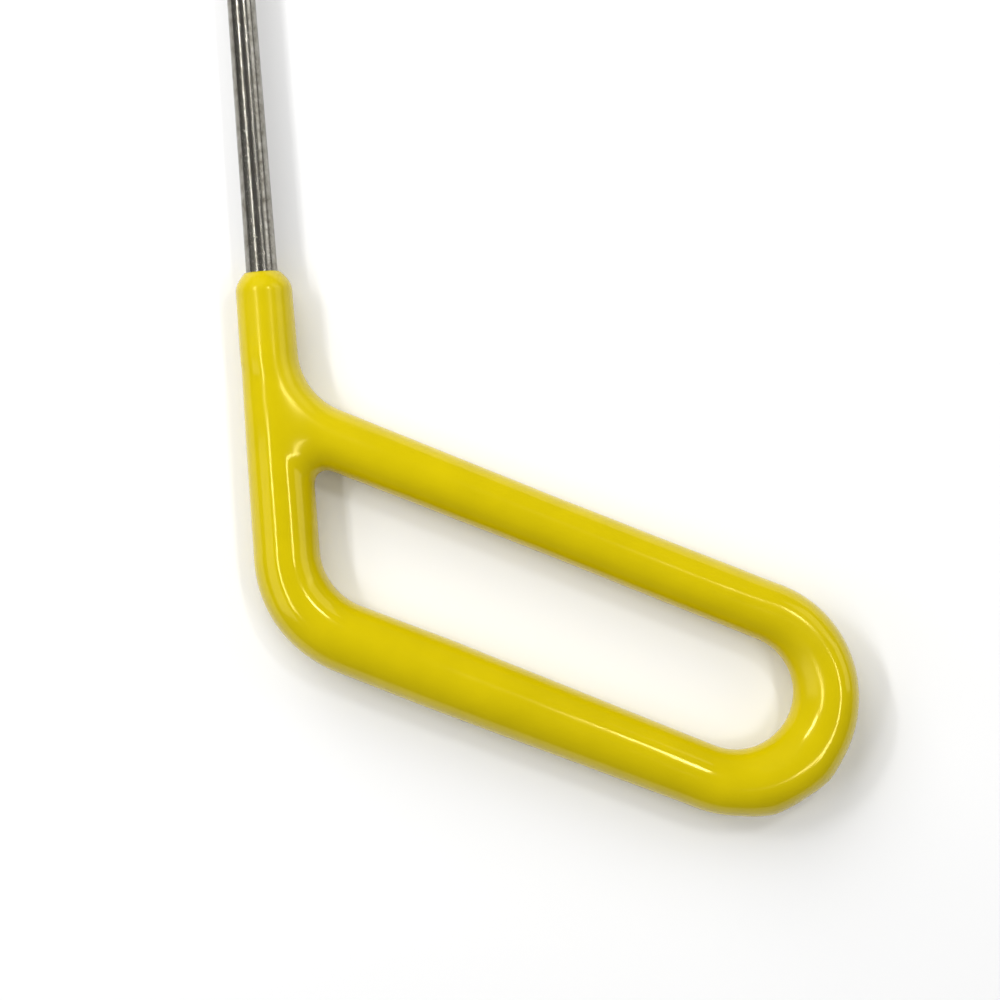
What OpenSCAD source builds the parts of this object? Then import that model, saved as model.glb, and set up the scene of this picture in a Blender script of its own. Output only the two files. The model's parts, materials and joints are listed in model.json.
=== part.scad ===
// Hand probe: one tapering steel bar, bent back on itself into a closed loop handle, welded shut
// and dip-coated in thick vinyl. It lies flat, as on a bench, with its underside on z = 0.
// +Y runs along the shank to the point, +X towards the loop's far end, and +Z out of the loop.

/* [Bar] */
// Diameter of the bar in the handle and where the shank leaves the grip
bar_d = 8; // [7:0.5:9]
// Diameter of the parallel point
point_d = 4; // [3:0.5:5]
// Length over which the shank tapers
taper_len = 325; // [150:5:450]
// Length of the parallel point, with its round nose
point_len = 30; // [15:1:60]

/* [Loop] */
// Angle between the shank and the loop's two long bars
lean = 64.4; // [60:0.2:70]
// Centreline radius of the two corner bends
corner_r = 24.5; // [23:0.5:27]
// Distance between the centrelines of the two long bars, which is twice the return bend's radius
bar_pitch = 45; // [44:0.5:50]
// Distance along the front bar from the shank's axis to the centre of the return bend
reach = 134; // [110:1:160]
// How far the side bar stands off the shank's axis, towards the loop's far end
side_offset = 0.9; // [0:0.1:1.5]

/* [Grip] */
// Length of coated neck before the first bend
neck_len = 21.2; // [15:0.2:30]
// Coated diameter of the neck
neck_d = 14.2; // [13.6:0.1:14.6]
// Coated diameter of the front bar, which carries on from the neck
front_d = 14.5; // [14.2:0.1:15.4]
// Coated diameter of the return bend
return_d = 16.6; // [16:0.1:17.4]
// Coated diameter of the rear bar near the heel, where the coating is thickest
rear_d = 18.2; // [17.8:0.1:19]
// Coated diameter of the heel, the corner between the rear bar and the side bar
heel_d = 17.6; // [17:0.1:17.8]
// Coated diameter of the short side bar
side_d = 16.7; // [16.4:0.1:17]
// Length of the sloping lip at the mouth of the coating
lip_len = 2.6; // [1:0.1:4]
// Length over which the coating swells from one diameter to the next
swell_len = 30; // [20:1:40]

/* [Weld] */
// Gap between the bar's mitred end and the bend that it is welded to
root_gap = 1; // [0.6:0.1:1.4]
// Diameter of the weld bead round the joint
bead_d = 3.2; // [2.4:0.1:3.4]

/* [Hidden] */
$fn = 48;

bar_r = bar_d / 2;
point_r = point_d / 2;
neck_r = neck_d / 2;
front_r = front_d / 2;
return_r = return_d / 2;
rear_r = rear_d / 2;
heel_r = heel_d / 2;
side_r = side_d / 2;
half_pitch = bar_pitch / 2;

// A straight run ends a lap inside the bend that it meets, and is a hair thinner than the bend.
lap = 0.4;
hair = 0.02;

// In the plane of the loop: the shank's axis is x = 0, and the first bend starts at y = 0.
along = [sin(lean), -cos(lean)];     // out along the long bars, away from the shank
across = [-cos(lean), -sin(lean)];   // from the front bar to the rear bar
tangent_len = corner_r * tan(lean / 2);
front_corner = [0, -tangent_len];
rear_corner = [side_offset, -tangent_len - bar_pitch / sin(lean) - side_offset / tan(lean)];
front_bend = [corner_r, 0];
rear_bend = [side_offset + corner_r, rear_corner.y + tangent_len];
return_bend = front_corner + reach * along + half_pitch * across;
front_start = front_corner + tangent_len * along;
rear_start = return_bend + half_pitch * across;
front_len = reach - tangent_len;
rear_len = reach - bar_pitch / tan(lean) - side_offset / sin(lean) - tangent_len;
side_len = -rear_bend.y;
shank_top = neck_len + taper_len + point_len;

// The side bar's mitred end lies along the outside of the first bend, across the weld's root gap.
meet = [side_offset, -sqrt(pow(corner_r + bar_r, 2) - pow(corner_r - side_offset, 2))];
mitre_angle = atan2(meet.y - front_bend.y, meet.x - front_bend.x);
mitre_half = bar_r * (corner_r + bar_r) / -meet.y;   // half the length of the mitred face
bead_run = mitre_half - bar_r;
cutter = 100;   // larger than anything it trims

// The coating's swell for the side bar starts inside the neck.
swell_top = 2;
swell_foot = -8;
swell_inset = side_offset + 0.2;

// The coating is thickest a little before the rear bar reaches the heel.
thick_end = 12;

// The coating's lip stands a little proud of the bar, then slopes up to a shoulder.
lip_step = 0.2;
shoulder_inset = 0.5;
shoulder_len = 9;

// The origin is at the centre of the underside of the whole tool.
low = [min(side_offset - heel_r, -neck_r), return_bend.y - half_pitch - return_r];
high = [return_bend.x + half_pitch + return_r, shank_top];
middle = (low + high) / 2;

// A round length in the plane of the loop, through stations of [distance, radius] along a heading
module run(from, heading, stations) {
    last = len(stations) - 1;
    translate([from.x, from.y, 0])
        rotate([0, 90, heading])
            rotate_extrude()
                polygon([
                    [0, stations[0][0]],
                    for (s = stations) [s[1], s[0]],
                    [0, stations[last][0]]
                ]);
}

// A round bend in the plane of the loop
module bend(centre, radius, start, sweep, r) {
    translate([centre.x, centre.y, 0])
        rotate([0, 0, start])
            rotate_extrude(angle = sweep)
                translate([radius, 0])
                    circle(r = r);
}

// Everything on the far side of the mitred face, at a distance beyond the bend's surface
module beyond_mitre(gap) {
    translate([meet.x, meet.y, 0])
        rotate([0, 0, mitre_angle])
            translate([gap, -cutter / 2, -cutter / 2])
                cube(cutter);
}

// The shank, from just inside the first bend to the round nose of the point
module shank() {
    rotate([-90, 0, 0])
        rotate_extrude() {
            polygon([
                [0, -lap],
                [bar_r - hair, -lap],
                [bar_r - hair, neck_len],
                [point_r, neck_len + taper_len],
                [point_r, shank_top - point_r],
                [0, shank_top - point_r]
            ]);
            intersection() {
                translate([0, shank_top - point_r])
                    circle(r = point_r);
                translate([0, shank_top - point_d])
                    square(point_d);
            }
        }
}

module bar_run(from, heading, len) {
    run(from, heading, [[-lap, bar_r - hair], [len + lap, bar_r - hair]]);
}

module bar_solid() {
    shank();
    bend(front_bend, corner_r, 180, lean, bar_r);
    bar_run(front_start, lean - 90, front_len);
    bend(return_bend, half_pitch, lean - 180, 180, bar_r);
    bar_run(rear_start, lean + 90, rear_len);
    bend(rear_bend, corner_r, 180, lean, bar_r);
    intersection() {
        bar_run([side_offset, rear_bend.y], 90, side_len);
        beyond_mitre(root_gap);
    }
}

// The weld's outer shape: a plug across the root gap, in a racetrack of bead round the mitred face
module weld_envelope() {
    translate([meet.x, meet.y, 0])
        rotate([0, 0, mitre_angle])
            translate([root_gap / 2, 0, 0])
                rotate([0, 90, 0]) {
                    linear_extrude(height = bead_d, center = true) {
                        for (side = [-1, 1])
                            translate([0, side * bead_run])
                                circle(r = bar_r);
                        square([bar_d, 2 * bead_run], center = true);
                    }
                    for (side = [-1, 1]) {
                        translate([0, side * bead_run, 0])
                            rotate([0, 0, side > 0 ? 0 : 180])
                                rotate_extrude(angle = 180)
                                    translate([bar_r, 0])
                                        circle(d = bead_d);
                        translate([side * bar_r, 0, 0])
                            rotate([90, 0, 0])
                                cylinder(h = 2 * bead_run, d = bead_d, center = true);
                    }
                }
}

// The outside of the coating: the neck, its lip, and each bar swelling between the bends
module skin() {
    run([0, 0], 90, [
        [-lap, neck_r - hair],
        [neck_len - lip_len - shoulder_len, neck_r - hair],
        [neck_len - lip_len, neck_r - shoulder_inset],
        [neck_len, bar_r + lip_step]
    ]);
    bend(front_bend, corner_r, 180, lean, neck_r);
    run(front_start, lean - 90, [
        [-lap, neck_r - hair],
        [swell_len, front_r],
        [front_len - swell_len, front_r],
        [front_len + lap, return_r - hair]
    ]);
    bend(return_bend, half_pitch, lean - 180, 180, return_r);
    run(rear_start, lean + 90, [
        [-lap, return_r - hair],
        [rear_len - thick_end, rear_r],
        [rear_len + lap, heel_r - hair]
    ]);
    bend(rear_bend, corner_r, 180, lean, heel_r);
    run([side_offset, 0], 90, [
        [rear_bend.y - lap, heel_r - hair],
        [swell_foot, side_r],
        [swell_top, neck_r - swell_inset]
    ]);
}

module bent_bar() {
    color("slategray")
        bar_solid();
}

module closing_weld() {
    color("dimgray")
        difference() {
            weld_envelope();
            bar_solid();
        }
}

module dipped_grip() {
    color("gold")
        difference() {
            skin();
            bar_solid();
            weld_envelope();
        }
}

translate([-middle.x, -middle.y, rear_r]) {
    bent_bar();
    closing_weld();
    dipped_grip();
}
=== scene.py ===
"""Looks for the loop-handled probe rod: a dipped vinyl grip on a bent, ground steel bar.

The grip's skin is worked out as a coat of varying thickness round the bar's centreline, so it swells,
sags and fills its corners as a dipped coat does. The bar and the hidden weld keep their CAD meshes.
"""

import json

import bmesh
import bpy
import numpy as np
from mathutils import Matrix, Vector, noise


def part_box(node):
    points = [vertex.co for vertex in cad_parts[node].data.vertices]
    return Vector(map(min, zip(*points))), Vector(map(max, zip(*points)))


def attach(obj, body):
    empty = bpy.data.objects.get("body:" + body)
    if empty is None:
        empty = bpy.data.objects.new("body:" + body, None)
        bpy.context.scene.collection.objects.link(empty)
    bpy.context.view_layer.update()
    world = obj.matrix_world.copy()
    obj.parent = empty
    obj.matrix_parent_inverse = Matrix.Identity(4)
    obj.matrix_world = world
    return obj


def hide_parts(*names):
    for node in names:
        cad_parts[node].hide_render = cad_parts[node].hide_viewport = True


MM = 0.001

# The bar's bends, as in the CAD model
LEAN = np.radians(64.4)  # between the shank and the loop's long bars
CORNER_R = 24.5 * MM
HALF_PITCH = 22.5 * MM
SIDE_OFFSET = 0.9 * MM  # the side bar stands this far off the shank's axis

# The coat's mouth, a lip that climbs from the bar to the neck
LIP_RISE = 4.8 * MM
LIP_ROUNDING = 1.9
LIP_STEP = 0.4 * MM

# How softly the coat fills the angle between the side bar and the first bend. Places are from the
# start of that bend.
CROTCH = np.array([9.0, -28.0]) * MM
CROTCH_REACH = 19 * MM
CROTCH_FILL = 6.3 * MM
SEAM_FILL = 0.8 * MM
SEAM_TOP = -3 * MM  # the fill over the weld starts here, and is full SEAM_FADE lower
SEAM_FADE = 8 * MM
THIN_FILL = 0.01 * MM
SIDE_BAR_TOP = -3 * MM

# The coat's thickness in mm, where its trend changes: (stretch, share of its length, outside of the
# loop, inside of it). It is thin along the front bar, and has run down to the rear bar and set there.
# On the neck and the first bend the two sides are those towards and away from the loop's far end.
COAT = [
    ("neck", 0.0, 3.2, 2.9),
    ("first_bend", 1.0, 3.8, 3.4),
    ("front_bar", 0.5, 3.1, 3.4),
    ("return_bend", 0.0, 3.0, 4.0),
    ("return_bend", 0.65, 5.4, 4.4),
    ("rear_bar", 0.0, 4.1, 4.3),
    ("rear_bar", 0.75, 5.2, 5.0),
    ("heel_bend", 0.5, 5.0, 4.6),
    ("side_bar", 0.0, 4.4, 4.4),
    ("side_bar", 0.7, 4.1, 4.3),
    ("side_bar", 1.0, 3.9, 2.0),
]

# How far the coat's crest leans out of the loop, as a share of its radius: (stretch, share, lean)
CREST = [("front_bar", 0.9, 0.0), ("return_bend", 0.35, 0.25), ("rear_bar", 0.15, 0.0)]

# Two drips set hard on the return bend's rim: (share of the bend's length, height, reach as a share)
DRIPS = [(0.62, 0.4 * MM, 0.06), (0.785, 0.75 * MM, 0.085)]

COAT_SMOOTHING = 7 * MM
SMOOTHING_STEPS = 10  # steps of the smoothing's grid in that distance

# How the skin's mesh is made
ROUGH_SPACING = 3 * MM
ROUGH_SIDES = 20
VOXEL = 0.6 * MM
SETTLING_PASSES = 5
SETTLING_ROUNDS = 2
RELAXING = 0.5
SLOPE_STEP = 0.01 * MM
LEAST_SLOPE_SQUARED = 0.25  # keeps a step finite in a crease
LUMP_SIZE = 14 * MM
LUMP_HEIGHT = 0.05 * MM
LUMP_FADE = 4 * MM  # below the mouth, so that the mouth stays on the bar

# The vinyl's gloss, as roughness: a haze all over, and three dulled places that fade out
HAZE = (0.09, 0.14)
DULLING = 0.12
DULL_NECK = (np.array([18, -8, 5]) * MM, 10 * MM, 26 * MM)  # middle from the origin, and fade
DULL_BEND = (12 * MM, np.radians(40), 6 * MM, 8 * MM, 18 * MM)  # out, angle and height, and fade
DULL_MOUTH = (-6 * MM, 10 * MM)  # from the first bend's start, towards the mouth

FLOOR_HALF = 3.0
LIGHTS_AIM = Vector((0, -0.15, 0))
STUDIO_STRENGTH = 0.15


def unit(angle):
    return np.array([np.cos(angle), np.sin(angle)])


def smoothstep(value):
    value = np.clip(value, 0, 1)
    return value**2 * (3 - 2 * value)


class Line:
    """A straight stretch of the centreline, from a start and a heading."""

    def __init__(self, start, heading, length):
        self.start, self.heading, self.length = start, heading, length
        self.end = start + length * unit(heading)

    def measure(self, points):
        """Distance along the stretch, offset to its left, and distance past its ends."""
        from_start = points - self.start
        along = from_start @ unit(self.heading)
        left = from_start @ unit(self.heading + np.pi / 2)
        past = np.maximum(np.maximum(-along, along - self.length), 0)
        return np.clip(along, 0, self.length), left, past


class Bend:
    """A bend of the centreline, round a centre from one angle through a sweep, positive to the left."""

    def __init__(self, centre, radius, start_angle, sweep):
        self.centre, self.radius, self.start_angle, self.sweep = centre, radius, start_angle, sweep
        self.length = abs(sweep) * radius
        self.end = centre + radius * unit(start_angle + sweep)

    def measure(self, points):
        """Distance along the stretch, offset to its left, and distance past its ends."""
        from_centre = points - self.centre
        side = np.sign(self.sweep)
        half = abs(self.sweep) / 2
        turned = side * (np.arctan2(from_centre[:, 1], from_centre[:, 0]) - self.start_angle)
        turned = (turned - half + np.pi) % (2 * np.pi) - np.pi + half
        left = side * (self.radius - np.hypot(from_centre[:, 0], from_centre[:, 1]))
        along = self.radius * turned
        past = np.maximum(np.maximum(-along, along - self.length), 0)
        return np.clip(along, 0, self.length), left, past


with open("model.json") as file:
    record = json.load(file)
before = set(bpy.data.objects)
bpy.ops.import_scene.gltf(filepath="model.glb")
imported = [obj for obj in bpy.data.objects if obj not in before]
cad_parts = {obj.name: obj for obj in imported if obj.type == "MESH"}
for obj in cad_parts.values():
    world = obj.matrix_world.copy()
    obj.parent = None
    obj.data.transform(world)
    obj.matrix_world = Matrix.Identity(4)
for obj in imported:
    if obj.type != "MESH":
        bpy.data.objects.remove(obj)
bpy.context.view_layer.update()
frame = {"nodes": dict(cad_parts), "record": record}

# Places from the frame. The shank's axis is x = 0 below, and the bar's middle plane is z = 0.
point = next(m for m in frame["record"]["mounts"] if m["name"] == "point")
bar_low, bar_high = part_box("bent_bar")
grip_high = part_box("dipped_grip")[1]
BAR_R = point["pos_m"][0] - bar_low.x
return_centre = np.array(
    [bar_high.x - HALF_PITCH - BAR_R - point["pos_m"][0], bar_low.y + HALF_PITCH + BAR_R]
)
along = unit(LEAN - np.pi / 2)
across = unit(LEAN + np.pi)
front_end = return_centre - HALF_PITCH * across
reach = front_end[0] / along[0]
tangent = CORNER_R * np.tan(LEAN / 2)
front_corner_y = front_end[1] - reach * along[1]
origin = Vector((point["pos_m"][0], front_corner_y + tangent, point["pos_m"][2]))
return_centre[1] -= origin.y
front_corner = np.array([0, -tangent])
rear_corner_drop = 2 * HALF_PITCH / np.sin(LEAN) + SIDE_OFFSET / np.tan(LEAN)
rear_corner = front_corner + np.array([SIDE_OFFSET, -rear_corner_drop])
rear_bend_y = rear_corner[1] + tangent
neck_length = grip_high.y - origin.y


def centreline():
    """The bar's centreline inside the grip, from the mouth round the loop to the side bar's end."""
    path = {"neck": Line(np.array([0, neck_length]), -np.pi / 2, neck_length)}
    path["first_bend"] = Bend(np.array([CORNER_R, 0]), CORNER_R, np.pi, LEAN)
    path["front_bar"] = Line(path["first_bend"].end, LEAN - np.pi / 2, reach - tangent)
    path["return_bend"] = Bend(return_centre, HALF_PITCH, LEAN, -np.pi)
    rear_start = return_centre + HALF_PITCH * across
    rear_length = reach - 2 * HALF_PITCH / np.tan(LEAN) - SIDE_OFFSET / np.sin(LEAN) - tangent
    path["rear_bar"] = Line(rear_start, LEAN + np.pi / 2, rear_length)
    heel_centre = np.array([SIDE_OFFSET + CORNER_R, rear_bend_y])
    path["heel_bend"] = Bend(heel_centre, CORNER_R, np.pi + LEAN, -LEAN)
    side_start = np.array([SIDE_OFFSET, rear_bend_y])
    path["side_bar"] = Line(side_start, np.pi / 2, SIDE_BAR_TOP - rear_bend_y)
    return path


class Coat:
    """The coat's outer skin, as a signed distance from it that is negative inside."""

    def __init__(self, path):
        self.path = path
        starts, total = {}, 0.0
        for name, stretch in path.items():
            starts[name] = total
            total += stretch.length
        self.starts = starts
        step = COAT_SMOOTHING / SMOOTHING_STEPS
        self.grid = np.arange(-COAT_SMOOTHING, total + COAT_SMOOTHING, step)
        self.sides = [self.smoothed(COAT, 2) * MM, self.smoothed(COAT, 3) * MM]
        self.crest = self.smoothed(CREST, 2)

    def smoothed(self, rows, column):
        """One column of a list of places along the bar, joined up smoothly over the grid."""
        places = [self.starts[row[0]] + row[1] * self.path[row[0]].length for row in rows]
        coarse = np.interp(self.grid, places, [row[column] for row in rows])
        window = np.hanning(2 * SMOOTHING_STEPS + 1)
        padded = np.pad(coarse, SMOOTHING_STEPS, mode="edge")
        return np.convolve(padded, window / window.sum(), mode="valid")

    def thickness(self, s):
        """The coat's thickness outside and inside the loop, at a distance from the mouth."""
        outside, inside = (np.interp(s, self.grid, side) for side in self.sides)
        climbed = 1 - (1 - np.clip(s / LIP_RISE, 0, 1)) ** LIP_ROUNDING
        return LIP_STEP + (outside - LIP_STEP) * climbed, LIP_STEP + (inside - LIP_STEP) * climbed

    def tube(self, name, points):
        """Signed distance from the coat round one stretch of the bar."""
        s, left, past = self.path[name].measure(points[:, :2])
        outside, inside = self.thickness(self.starts[name] + s)
        radius = BAR_R + (outside + inside) / 2
        shift = (outside - inside) / 2
        left = left - shift
        outwardness = np.clip(left / np.maximum(np.hypot(left, points[:, 2]), SLOPE_STEP), 0, 1)
        lean = np.interp(self.starts[name] + s, self.grid, self.crest)
        left = left - lean * points[:, 2] ** 2 / radius
        if name == "return_bend":
            share = s / self.path[name].length
            for place, height, reach_of_drip in DRIPS:
                tent = np.clip(1 - np.abs(share - place) / reach_of_drip, 0, 1)
                radius = radius + height * tent * outwardness**4
        return np.sqrt(left**2 + points[:, 2] ** 2 + past**2) - radius

    def distance(self, points):
        """Signed distance from the whole skin, softened where the side bar meets the first bend."""
        side = self.tube("side_bar", points)
        front = np.min([self.tube(n, points) for n in ("neck", "first_bend", "front_bar")], axis=0)
        rest = np.min([self.tube(n, points) for n in ("return_bend", "rear_bar", "heel_bend")], axis=0)
        from_crotch = np.linalg.norm(points[:, :2] - CROTCH, axis=1)
        lowered = smoothstep((SEAM_TOP - points[:, 1]) / SEAM_FADE)
        seam = THIN_FILL + (SEAM_FILL - THIN_FILL) * lowered
        fill = seam + (CROTCH_FILL - seam) * smoothstep(1 - from_crotch / CROTCH_REACH)
        overlap = np.maximum(fill - np.abs(side - front), 0) / fill
        joined = np.minimum(side, front) - overlap**2 * fill / 4
        above_mouth = points[:, 1] - neck_length
        return np.maximum(np.minimum(joined, rest), above_mouth)

    def settle(self, points, rounds):
        """Moves points onto the skin along its gradient."""
        for _ in range(rounds):
            value = self.distance(points)
            gradient = np.empty_like(points)
            for axis in range(3):
                nudge = np.zeros(3)
                nudge[axis] = SLOPE_STEP
                rise = self.distance(points + nudge) - self.distance(points - nudge)
                gradient[:, axis] = rise / (2 * SLOPE_STEP)
            slope_squared = np.maximum((gradient**2).sum(axis=1), LEAST_SLOPE_SQUARED)
            points = points - gradient * (value / slope_squared)[:, None]
        return points


def rough_tubes(coat):
    """Overlapping closed tubes along the centreline, as a start for the remesh."""
    bm = bmesh.new()
    for name, stretch in coat.path.items():
        count = max(int(stretch.length / ROUGH_SPACING), 3)
        rings = []
        for i in range(count + 1):
            s = stretch.length * i / count
            if isinstance(stretch, Line):
                place = stretch.start + s * unit(stretch.heading)
                left = unit(stretch.heading + np.pi / 2)
            else:
                angle = stretch.start_angle + np.sign(stretch.sweep) * s / stretch.radius
                place = stretch.centre + stretch.radius * unit(angle)
                left = -np.sign(stretch.sweep) * unit(angle)
            outside, inside = coat.thickness(np.array([coat.starts[name] + s]))
            radius = BAR_R + (outside[0] + inside[0]) / 2
            place = place + left * (outside[0] - inside[0]) / 2
            ring = []
            for k in range(ROUGH_SIDES):
                turn = 2 * np.pi * k / ROUGH_SIDES
                flat = place + left * radius * np.cos(turn)
                ring.append(bm.verts.new((flat[0], flat[1], radius * np.sin(turn))))
            rings.append(ring)
        for low, high in zip(rings, rings[1:]):
            for k in range(ROUGH_SIDES):
                bm.faces.new((low[k], low[k - 1], high[k - 1], high[k]))
        bm.faces.new(rings[0])
        bm.faces.new(reversed(rings[-1]))
    bmesh.ops.recalc_face_normals(bm, faces=bm.faces)
    mesh = bpy.data.meshes.new("rough_grip")
    bm.to_mesh(mesh)
    bm.free()
    return mesh


def remeshed(mesh):
    """A copy of a mesh as one closed skin of even quads."""
    rough = bpy.data.objects.new("rough_grip", mesh)
    bpy.context.scene.collection.objects.link(rough)
    modifier = rough.modifiers.new("one_skin", "REMESH")
    modifier.mode = "VOXEL"
    modifier.voxel_size = VOXEL
    evaluated = rough.evaluated_get(bpy.context.evaluated_depsgraph_get())
    skin = bpy.data.meshes.new_from_object(evaluated)
    bpy.data.objects.remove(rough)
    return skin


def coordinates(mesh):
    flat = np.empty(len(mesh.vertices) * 3)
    mesh.vertices.foreach_get("co", flat)
    return flat.reshape(-1, 3)


def relaxed(points, edges, amount):
    """Each point moved part of the way to the middle of its neighbours."""
    total = np.zeros_like(points)
    count = np.zeros(len(points))
    for a, b in (edges.T, edges.T[::-1]):
        np.add.at(total, a, points[b])
        np.add.at(count, a, 1)
    return points + amount * (total / count[:, None] - points)


def make_grip():
    """The dipped coat: one skin of even quads, settled on the coat's true surface."""
    coat = Coat(centreline())
    mesh = remeshed(rough_tubes(coat))
    edges = np.empty(len(mesh.edges) * 2, dtype=int)
    mesh.edges.foreach_get("vertices", edges)
    edges = edges.reshape(-1, 2)
    points = coordinates(mesh)
    for _ in range(SETTLING_PASSES):
        points = coat.settle(relaxed(points, edges, RELAXING), SETTLING_ROUNDS)
    mesh.vertices.foreach_set("co", points.ravel())
    mesh.update()
    normals = np.empty(len(mesh.vertices) * 3)
    mesh.vertices.foreach_get("normal", normals)
    lumps = np.array([noise.noise(Vector(p) / LUMP_SIZE) for p in points])
    lumps *= np.clip((neck_length - points[:, 1]) / LUMP_FADE, 0, 1)
    points += normals.reshape(-1, 3) * (LUMP_HEIGHT * lumps)[:, None]
    points[:, 2] = np.maximum(points[:, 2], -origin.z)  # nothing goes below the floor
    mesh.vertices.foreach_set("co", points.ravel())
    mesh.transform(Matrix.Translation(origin))
    mesh.polygons.foreach_set("use_smooth", [True] * len(mesh.polygons))
    grip = bpy.data.objects.new("vinyl_grip", mesh)
    bpy.context.scene.collection.objects.link(grip)
    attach(grip, "root")
    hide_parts("dipped_grip")
    return grip


class Nodes:
    """A new material's shader nodes, with short calls for adding and joining them."""

    def __init__(self, name):
        self.material = bpy.data.materials.new(name)
        self.material.use_nodes = True
        self.tree = self.material.node_tree
        self.surface = self.tree.nodes["Principled BSDF"]
        self.place = self.add("TexCoord").outputs["Object"]

    def add(self, kind, **settings):
        node = self.tree.nodes.new("ShaderNode" + kind)
        for key, value in settings.items():
            setattr(node, key, value)
        return node

    def link(self, output, target):
        self.tree.links.new(output, target)

    def noise(self, scale, detail=4.0, roughness=0.5, place=None):
        node = self.add("TexNoise")
        node.inputs["Scale"].default_value = scale
        node.inputs["Detail"].default_value = detail
        node.inputs["Roughness"].default_value = roughness
        self.link(place or self.place, node.inputs["Vector"])
        return node.outputs["Fac"]

    def stretched(self, scale):
        node = self.add("Mapping")
        node.inputs["Scale"].default_value = scale
        self.link(self.place, node.inputs["Vector"])
        return node.outputs["Vector"]

    def ramp(self, value, stops):
        node = self.add("ValToRGB")
        elements = node.color_ramp.elements
        while len(elements) < len(stops):
            elements.new(0.5)
        for element, (position, colour) in zip(elements, stops):
            element.position = position
            element.color = (*colour, 1.0)
        self.link(value, node.inputs["Fac"])
        return node.outputs["Color"]

    def spread(self, value, low, high, from_low=0.3, from_high=0.7, interpolation="LINEAR"):
        node = self.add("MapRange", interpolation_type=interpolation)
        node.inputs["From Min"].default_value = from_low
        node.inputs["From Max"].default_value = from_high
        node.inputs["To Min"].default_value = low
        node.inputs["To Max"].default_value = high
        self.link(value, node.inputs["Value"])
        return node.outputs["Result"]

    def distance_from(self, place):
        node = self.add("VectorMath", operation="DISTANCE")
        self.link(self.place, node.inputs[0])
        node.inputs[1].default_value = place
        return node.outputs["Value"]

    def multiplied(self, a, b):
        """One colour times another. Sockets 6 and 7 are the node's two colours, and 2 its result."""
        node = self.add("Mix", data_type="RGBA", blend_type="MULTIPLY")
        node.inputs["Factor"].default_value = 1.0
        self.link(a, node.inputs[6])
        self.link(b, node.inputs[7])
        return node.outputs[2]

    def combined(self, operation, a, b):
        node = self.add("Math", operation=operation)
        self.link(a, node.inputs[0])
        self.link(b, node.inputs[1])
        return node.outputs["Value"]

    def bump(self, height, strength, distance, below=None):
        node = self.add("Bump")
        node.inputs["Strength"].default_value = strength
        node.inputs["Distance"].default_value = distance
        self.link(height, node.inputs["Height"])
        if below:
            self.link(below, node.inputs["Normal"])
        return node.outputs["Normal"]

    def set(self, **values):
        for name, value in values.items():
            self.surface.inputs[name.replace("_", " ")].default_value = value


def vinyl_material():
    """Glossy dip-moulded vinyl: one strong yellow, a little uneven, with handling haze."""
    m = Nodes("dipped_vinyl")
    m.set(IOR=1.6)
    m.surface.inputs["Specular Tint"].default_value = (1.0, 0.86, 0.30, 1.0)
    tone = m.ramp(m.noise(90, 3), [(0.3, (0.565, 0.445, 0.0006)), (0.7, (0.61, 0.480, 0.001))])
    m.link(tone, m.surface.inputs["Base Color"])
    haze = m.spread(m.noise(60, 6, 0.6), *HAZE)
    middle, near, far = DULL_NECK
    from_neck = m.distance_from(origin + Vector(middle))
    neck_dulled = m.spread(from_neck, DULLING, 0.0, near, far, "SMOOTHSTEP")
    out, angle, height, near, far = DULL_BEND
    from_bend = m.distance_from(origin + Vector((*(return_centre + out * unit(angle)), height)))
    bend_dulled = m.spread(from_bend, DULLING, 0.0, near, far, "SMOOTHSTEP")
    split = m.add("SeparateXYZ")
    m.link(m.place, split.inputs["Vector"])
    low, high = (origin.y + rise for rise in DULL_MOUTH)
    mouth_dulled = m.spread(split.outputs["Y"], 0.0, DULLING, low, high, "SMOOTHSTEP")
    dulled = m.combined("MAXIMUM", m.combined("MAXIMUM", neck_dulled, bend_dulled), mouth_dulled)
    m.link(m.combined("ADD", haze, dulled), m.surface.inputs["Roughness"])
    ripple = m.bump(m.noise(160, 2), 0.5, 0.00005)
    m.link(m.bump(m.noise(1800, 3), 0.3, 0.00001, ripple), m.surface.inputs["Normal"])
    return m.material


def steel_material():
    """Ground steel bar: marks along its length, darker mottling and small pits."""
    m = Nodes("ground_steel")
    m.set(Metallic=1.0)
    grain = m.noise(1, 5, 0.6, m.stretched((2600, 45, 2600)))
    mottle = m.noise(420, 6, 0.65)
    pits = m.noise(1500, 3, 0.5)
    greys = [(0.3, (0.17, 0.155, 0.125)), (0.5, (0.30, 0.285, 0.25)), (0.7, (0.40, 0.385, 0.35))]
    tone = m.ramp(mottle, greys)
    lined = m.ramp(grain, [(0.3, (0.72, 0.72, 0.70)), (0.7, (1.0, 1.0, 1.0))])
    m.link(m.multiplied(tone, lined), m.surface.inputs["Base Color"])
    m.link(m.spread(mottle, 0.26, 0.16), m.surface.inputs["Roughness"])
    scratches = m.bump(grain, 0.35, 0.00003)
    m.link(m.bump(m.spread(pits, 0, 1, 0.32, 0.4), 0.4, 0.00003, scratches), m.surface.inputs["Normal"])
    return m.material


def weld_material():
    """Wire-brushed weld metal, dark with heat."""
    m = Nodes("weld_metal")
    m.set(Metallic=1.0)
    tone = m.ramp(m.noise(700, 4), [(0.3, (0.13, 0.11, 0.10)), (0.7, (0.34, 0.33, 0.32))])
    m.link(tone, m.surface.inputs["Base Color"])
    m.link(m.spread(m.noise(500, 3), 0.35, 0.6), m.surface.inputs["Roughness"])
    m.link(m.bump(m.noise(900, 4), 0.5, 0.0001), m.surface.inputs["Normal"])
    return m.material


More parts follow.
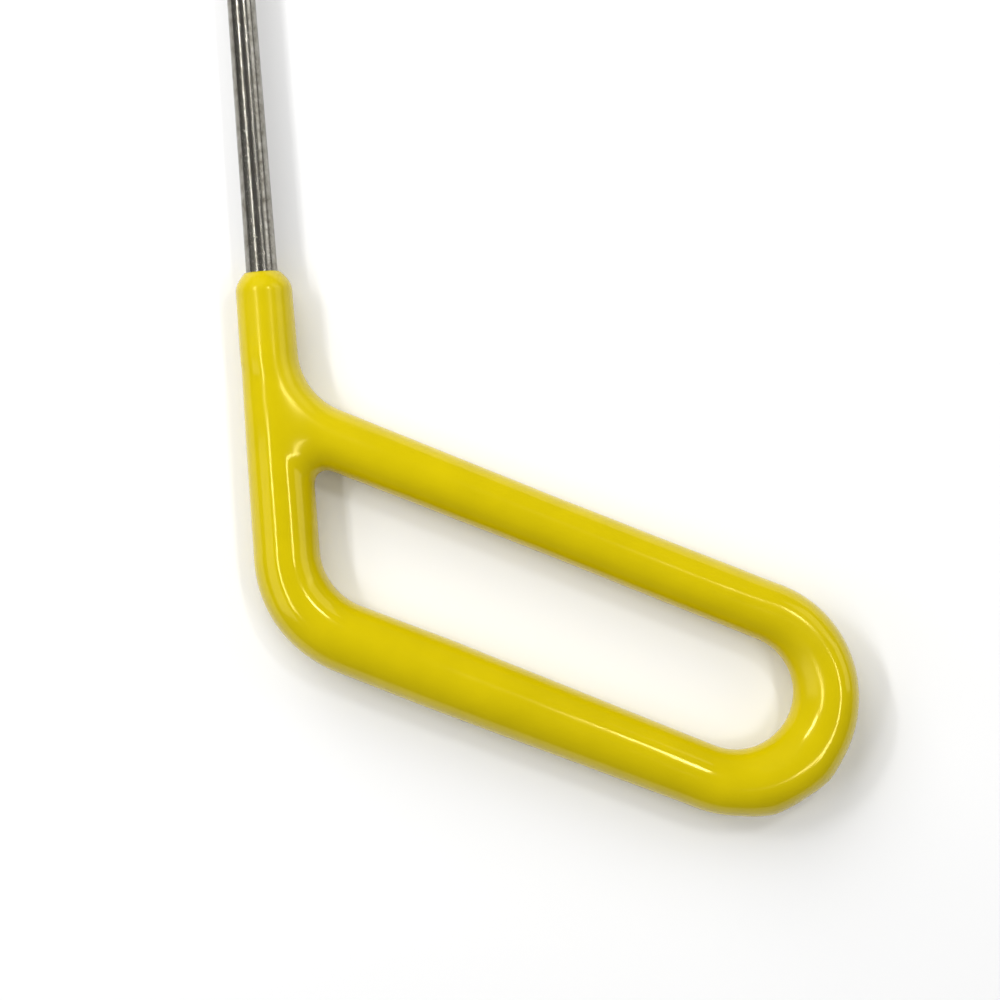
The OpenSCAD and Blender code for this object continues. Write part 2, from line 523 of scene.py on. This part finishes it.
def floor_material():
    m = Nodes("white_sweep")
    m.set(Roughness=0.9)
    m.surface.inputs["Specular IOR Level"].default_value = 0.1
    tone = m.ramp(m.noise(3, 2), [(0.4, (0.90, 0.90, 0.90)), (0.6, (0.91, 0.91, 0.91))])
    m.link(tone, m.surface.inputs["Base Color"])
    return m.material


def make_floor():
    bm = bmesh.new()
    signs = ((-1, -1), (1, -1), (1, 1), (-1, 1))
    bm.faces.new([bm.verts.new((x * FLOOR_HALF, y * FLOOR_HALF, 0)) for x, y in signs])
    mesh = bpy.data.meshes.new("floor")
    bm.to_mesh(mesh)
    bm.free()
    floor = bpy.data.objects.new("floor", mesh)
    bpy.context.scene.collection.objects.link(floor)
    floor.data.materials.append(floor_material())


def wear(name, material):
    node = frame["nodes"][name]
    node.data.materials.clear()
    node.data.materials.append(material)


# The view is straight down on the loop's plane, with the shank leaning a little to the left.
VIEW_WIDTH = 251.9 * MM
VIEW_ROLL = np.radians(4.36)
VIEW_DISTANCE = 0.9
VIEW_OFFSET = (57.2 * MM, -20.9 * MM)  # the view's middle from the corner of shank and front bar


def make_camera():
    data = bpy.data.cameras.new("camera")
    data.sensor_width = 36
    data.lens = 36 * VIEW_DISTANCE / VIEW_WIDTH
    data.clip_start = 0.01
    camera = bpy.data.objects.new("camera", data)
    bpy.context.scene.collection.objects.link(camera)
    turn = Matrix.Rotation(-VIEW_ROLL, 4, "Z")
    corner = origin + Vector((0, front_corner[1], 0))
    offset = turn @ Vector((*VIEW_OFFSET, VIEW_DISTANCE))
    camera.matrix_world = Matrix.Translation(corner + offset) @ turn
    bpy.context.scene.camera = camera


def area_light(name, place, size, power, mirrored=True):
    """A rectangular light. The second side of its size runs along Y, as far as its aim allows."""
    data = bpy.data.lights.new(name, "AREA")
    data.shape = "RECTANGLE"
    data.size, data.size_y = size
    data.energy = power
    light = bpy.data.objects.new(name, data)
    light.visible_glossy = mirrored
    bpy.context.scene.collection.objects.link(light)
    backward = (Vector(place) - LIGHTS_AIM).normalized()
    side = Vector((0, 1, 0)).cross(backward).normalized()
    up = backward.cross(side)
    turn = Matrix((side, up, backward)).transposed().to_4x4()
    light.matrix_world = Matrix.Translation(place) @ turn


def make_lights():
    """Narrow strips for the streaks in the gloss, wide cards and keys for the soft light."""
    area_light("left_strip", (-0.93, -0.28, 1.5), (0.11, 0.75), 4.0)
    area_light("far_left_strip", (-1.08, 0.48, 1.5), (0.10, 0.5), 6.4)
    area_light("right_strip", (0.64, -0.365, 1.5), (0.10, 0.67), 3.4)
    area_light("far_right_strip", (0.555, 0.37, 1.5), (0.10, 0.24), 3.2)
    area_light("low_strip", (0.36, -0.52, 1.5), (0.42, 0.1), 1.7)
    area_light("right_card", (1.9, 0.2, 1.0), (1.0, 1.0), 5)
    area_light("left_card", (-1.6, -0.55, 1.0), (1.0, 1.0), 4.5)
    area_light("key", (-0.30, 0.46, 0.55), (0.75, 0.8), 5.9, mirrored=False)
    area_light("right_key", (1.2, 0.75, 0.9), (0.8, 0.8), 2.6)
    world = bpy.data.worlds.new("studio")
    world.use_nodes = True
    background = world.node_tree.nodes["Background"]
    background.inputs["Color"].default_value = (1.0, 1.0, 1.0, 1.0)
    background.inputs["Strength"].default_value = STUDIO_STRENGTH
    bpy.context.scene.world = world
    bpy.context.scene.view_settings.view_transform = "Standard"


grip = make_grip()
grip.data.materials.append(vinyl_material())
wear("bent_bar", steel_material())
wear("closing_weld", weld_material())
make_floor()
make_camera()
make_lights()
